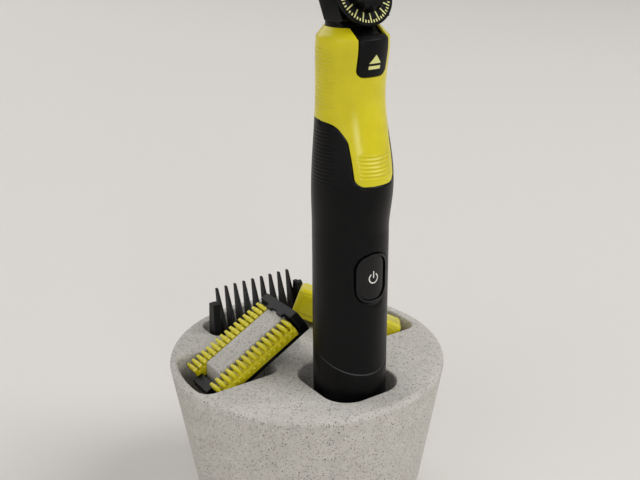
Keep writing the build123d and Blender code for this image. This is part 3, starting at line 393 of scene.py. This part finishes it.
def dial_ticks():
    """Radial strokes on the dial's face: a long one at each setting and two short ones between. Each is
    a flat patch, radius by width, at its own angle about the dial's axis. Sizes in millimetres."""
    centre = np.array(JOINTS["dial_turn"]["pos_m"])
    out = np.array(JOINTS["dial_turn"]["axis"])
    up = np.array(JOINTS["comb_raise"]["axis"])
    right = np.cross(up, out)
    outer, long, short, half, face_depth = 9.6, 3.1, 0.9, 0.21, 1.1
    setting, strokes_each = 20, 3
    strokes = []
    for index, angle in enumerate(np.radians(np.arange(0, 360, setting / strokes_each))):
        length = short if index % strokes_each else long
        radius, side = np.meshgrid(np.array([outer - length, outer]), np.array([-half, half]),
                                   indexing="ij")
        outwards = np.sin(angle) * right + np.cos(angle) * up
        across = np.cross(out, outwards)
        flat = radius[..., None] * outwards + side[..., None] * across - face_depth * out
        strokes.append(centre + flat * MM)
    return grids("dial_ticks", strokes)


def eject_sign():
    """A triangle over a bar: rows run from the point down to the base, and along the bar."""
    top, base, width, bar_top, bar_low = 146.5, 143.7, 4.5, 142.9, 141.8
    down, across = np.meshgrid(np.linspace(0, 1, 12), np.linspace(-0.5, 0.5, 12), indexing="ij")
    point = upright(across * down * width, top - down * (top - base))
    bar = upright(across * width, bar_top - down * (bar_top - bar_low))
    return grids("eject_sign", [point, bar])


def power_sign():
    """An open ring with a stroke through its gap, as angle by radius and height by width."""
    centre, radius, line, gap, stroke_low, stroke_high = 70.0, 1.75, 0.42, 32, 0.1, 2.6
    angle, reach = np.meshgrid(np.radians(np.linspace(gap, 360 - gap, 60)), np.linspace(-0.5, 0.5, 4),
                               indexing="ij")
    size = radius + reach * line
    ring = upright(np.sin(angle) * size, centre + np.cos(angle) * size)
    up, side = np.meshgrid(np.linspace(stroke_low, stroke_high, 10), np.linspace(-0.5, 0.5, 4),
                           indexing="ij")
    stroke = upright(side * line, centre + up)
    return grids("power_sign", [ring, stroke])


# Lime forms on the skin guard and the cap

def bead_row(name, node, count, half, side_place, up_place, margin=0.87):
    """A row of ellipsoids along one of the guard's lime parts, as height by turn. half is each one's
    half size along the row, sideways and up; side_place is a share of the part's own width, up_place
    is how far below its top they sit, half sunk in it, and margin is the first one's distance from
    the row's end, in millimetres."""
    up = np.array(JOINTS["guard_lift"]["axis"])
    side = np.array([0.0, 1.0, 0.0])
    along = np.cross(side, up)
    vertices = NODES[node].data.vertices
    corners = np.empty(len(vertices) * 3)
    vertices.foreach_get("co", corners)
    corners = corners.reshape(-1, 3)
    first, last = (corners @ along).min(), (corners @ along).max()
    near, far = (corners @ side).min(), (corners @ side).max()
    centre = (near + side_place * (far - near)) * side + ((corners @ up).max() - up_place * MM) * up
    height, turn = np.meshgrid(np.linspace(-np.pi / 2, np.pi / 2, 11), np.linspace(0, 2 * np.pi, 19),
                               indexing="ij")
    bead = ((np.cos(height) * np.cos(turn) * half[0])[..., None] * along
            + (np.cos(height) * np.sin(turn) * half[1])[..., None] * side
            + (np.sin(height) * half[2])[..., None] * up) * MM
    places = np.linspace(first + margin * MM, last - margin * MM, count)
    piece = grids(name, [bead + centre + place * along for place in places])
    piece.data.shade_smooth()
    paint(piece, lime)
    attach(piece, BODY_OF[node])


def cap_panel():
    """The raised panel on the cap's front face: a rounded rectangle, as rows from the middle of its
    outside over its rounded edge to the middle of its back, by turn. Sizes in millimetres.
    The cap leans in its pocket: turn is its direction seen from above, fall its slope towards the
    front and roll its turn about its own length, in degrees, from cap_corner."""
    turn, fall, roll = np.radians([-41.9, 19.9, 12.1])
    cap_corner = np.array([17.7, 29.2, 89.3])
    cap_length, cap_width, cap_height = 44.5, 13.4, 12.0
    border, round_corner, rise, edge_round, sunk = 2.1, 1.4, 0.26, 0.08, 0.15
    along = np.array([np.cos(fall) * np.cos(turn), np.cos(fall) * np.sin(turn), -np.sin(fall)])
    lifted = np.array([np.sin(fall) * np.cos(turn), np.sin(fall) * np.sin(turn), np.cos(fall)])
    level = np.array([-np.sin(turn), np.cos(turn), 0.0])
    out = np.cos(roll) * lifted + np.sin(roll) * level
    side = np.cross(out, along)
    quarter = np.append(np.repeat(np.arange(4), 9), 0)
    angle = (quarter + np.append(np.tile(np.linspace(0, 1, 9), 4), 0)) * np.pi / 2
    middle = (quarter + 0.5) * np.pi / 2
    spread = np.array([0, 1, 1, 1, 0])[:, None]
    inset = np.array([0, rise, edge_round, 0, 0])[:, None]
    height = np.array([rise, rise, rise - edge_round, 0, -sunk])[:, None]
    place = [spread * (np.sign(turned(middle)) * (size / 2 - border - round_corner)
                       + turned(angle) * (round_corner - inset))
             for turned, size in ((np.cos, cap_length), (np.sin, cap_height))]
    panel = ((cap_length / 2 + place[0])[..., None] * along
             + (place[1] - cap_height / 2)[..., None] * out
             - (height + cap_width + 0 * place[0])[..., None] * side + cap_corner)
    piece = grids("cap_panel", [panel * MM])
    paint(piece, lime)
    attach(piece, BODY_OF["blade_cap"])


front_fingers = 15
rear_fingers = 16
# the fingers look like plump beads: each gets a rounded back, and the skirt has a second, lower row
bead_row("front_finger_backs", "guard_front_teeth", front_fingers, (1.02, 3.7, 0.9), 0.5, 0.6)
bead_row("rear_finger_backs", "guard_rear_teeth", rear_fingers, (1.02, 3.5, 0.9), 0.5, 0.6)
bead_row("skirt_bumps", "guard_front_teeth", front_fingers, (0.8, 0.55, 0.95), 0.0, 3.1)
# between the fingers the lime goes on, lower down, so no frame shows through the gaps
bead_row("front_finger_web", "guard_front_teeth", 1, (18.8, 3.4, 0.9), 0.5, 2.3, margin=19.0)
bead_row("rear_finger_web", "guard_rear_teeth", 1, (18.8, 3.2, 0.9), 0.5, 2.3, margin=19.0)
cap_panel()
printed(dial_ticks(), lime_print, "comb_dial")
printed(eject_sign(), lime_print, "release_slider", skins["release_slider"])
printed(power_sign(), pale_print, "power_button", skins["power_button"])


# Floor, light and camera

def plain_floor():
    """One pale, matt sheet: a flat round floor that sweeps up into a low wall all round, far away. Its
    profile runs from the middle outwards, then up a quarter circle and the wall; it is turned about
    z. Sizes in metres."""
    flat, sweep, wall = 2.6, 1.2, 2.6
    bend = np.linspace(0, np.pi / 2, 13)
    radius = np.concatenate([[0.0, flat / 2], flat + sweep * np.sin(bend), [flat + sweep]])[:, None]
    height = np.concatenate([[0.0, 0.0], sweep * (1 - np.cos(bend)), [wall]])[:, None]
    turn = np.linspace(2 * np.pi, 0, 97)[None, :]
    sheet = np.stack([radius * np.cos(turn), radius * np.sin(turn), height + 0 * turn], -1)
    floor = grids("floor", [sheet], closed=False)
    floor.data.shade_smooth()
    paint(floor, start("pale_floor", Roughness=0.9, Base_Color=linear("#DAD7D3"))[0])


def lamp(name, place, aim, size, watts, beam=180.0):
    """A soft square lamp at a place in metres, turned to face another; beam is how wide it shines, in
    degrees."""
    data = bpy.data.lights.new(name, "AREA")
    data.size = size
    data.energy = watts
    data.spread = np.radians(beam)
    thing = bpy.data.objects.new(name, data)
    away = np.array(place) - np.array(aim)
    away /= np.linalg.norm(away)
    side = np.cross((0, 0, 1), away)
    side /= np.linalg.norm(side)
    turn = np.column_stack([side, np.cross(away, side), away])
    thing.matrix_world = Matrix.Translation(place) @ Matrix(turn.tolist()).to_4x4()
    bpy.context.collection.objects.link(thing)


def photo_camera():
    """The photograph's view: turned 34.3 degrees to the left of the front, looking down 21.3 degrees,
    with a focal length of 950 pixels on a frame 640 wide."""
    azimuth, pitch, roll = np.radians((34.31, 21.256, 0.361))
    focal_pixels, frame_pixels, sensor_mm = 950, 640, 36.0
    eye = (-0.1838, -0.2789, 0.2509)
    right = np.array([np.cos(azimuth), -np.sin(azimuth), 0.0])
    ahead = np.array([np.sin(azimuth) * np.cos(pitch), np.cos(azimuth) * np.cos(pitch), -np.sin(pitch)])
    down = np.cross(ahead, right)
    across = np.cos(roll) * right + np.sin(roll) * down
    below = np.cos(roll) * down - np.sin(roll) * right
    data = bpy.data.cameras.new("view")
    data.sensor_width = sensor_mm
    data.lens = focal_pixels / frame_pixels * sensor_mm
    data.clip_start = 0.01
    camera = bpy.data.objects.new("view", data)
    turn = np.column_stack([across, -below, -ahead])
    camera.matrix_world = Matrix.Translation(eye) @ Matrix(turn.tolist()).to_4x4()
    bpy.context.collection.objects.link(camera)
    bpy.context.scene.camera = camera


plain_floor()
lamp("key", place=(1.5, -1.6, 2.4), aim=(0, 0, 0.1), size=1.7, watts=54.0)
lamp("fill", place=(-2.2, -0.9, 1.4), aim=(0, 0, 0.1), size=2.4, watts=17.0)
# low and narrow, so the cover's curve gets its bright line and the floor under the lamp stays even
lamp("glint", place=(-0.62, -1.75, 0.5), aim=(0, 0, 0.16), size=0.38, watts=0.45, beam=60.0)
lamp("back", place=(-0.3, 2.2, 2.0), aim=(0, 0, 0.12), size=2.2, watts=28.0)
photo_camera()
scene = bpy.context.scene
scene.view_settings.view_transform = "Standard"
world = bpy.data.worlds.new("studio")
scene.world = world
world.use_nodes = True
sky = world.node_tree.nodes["Background"]
sky.inputs["Color"].default_value = linear("#E4E3E1")
sky.inputs["Strength"].default_value = 0.42
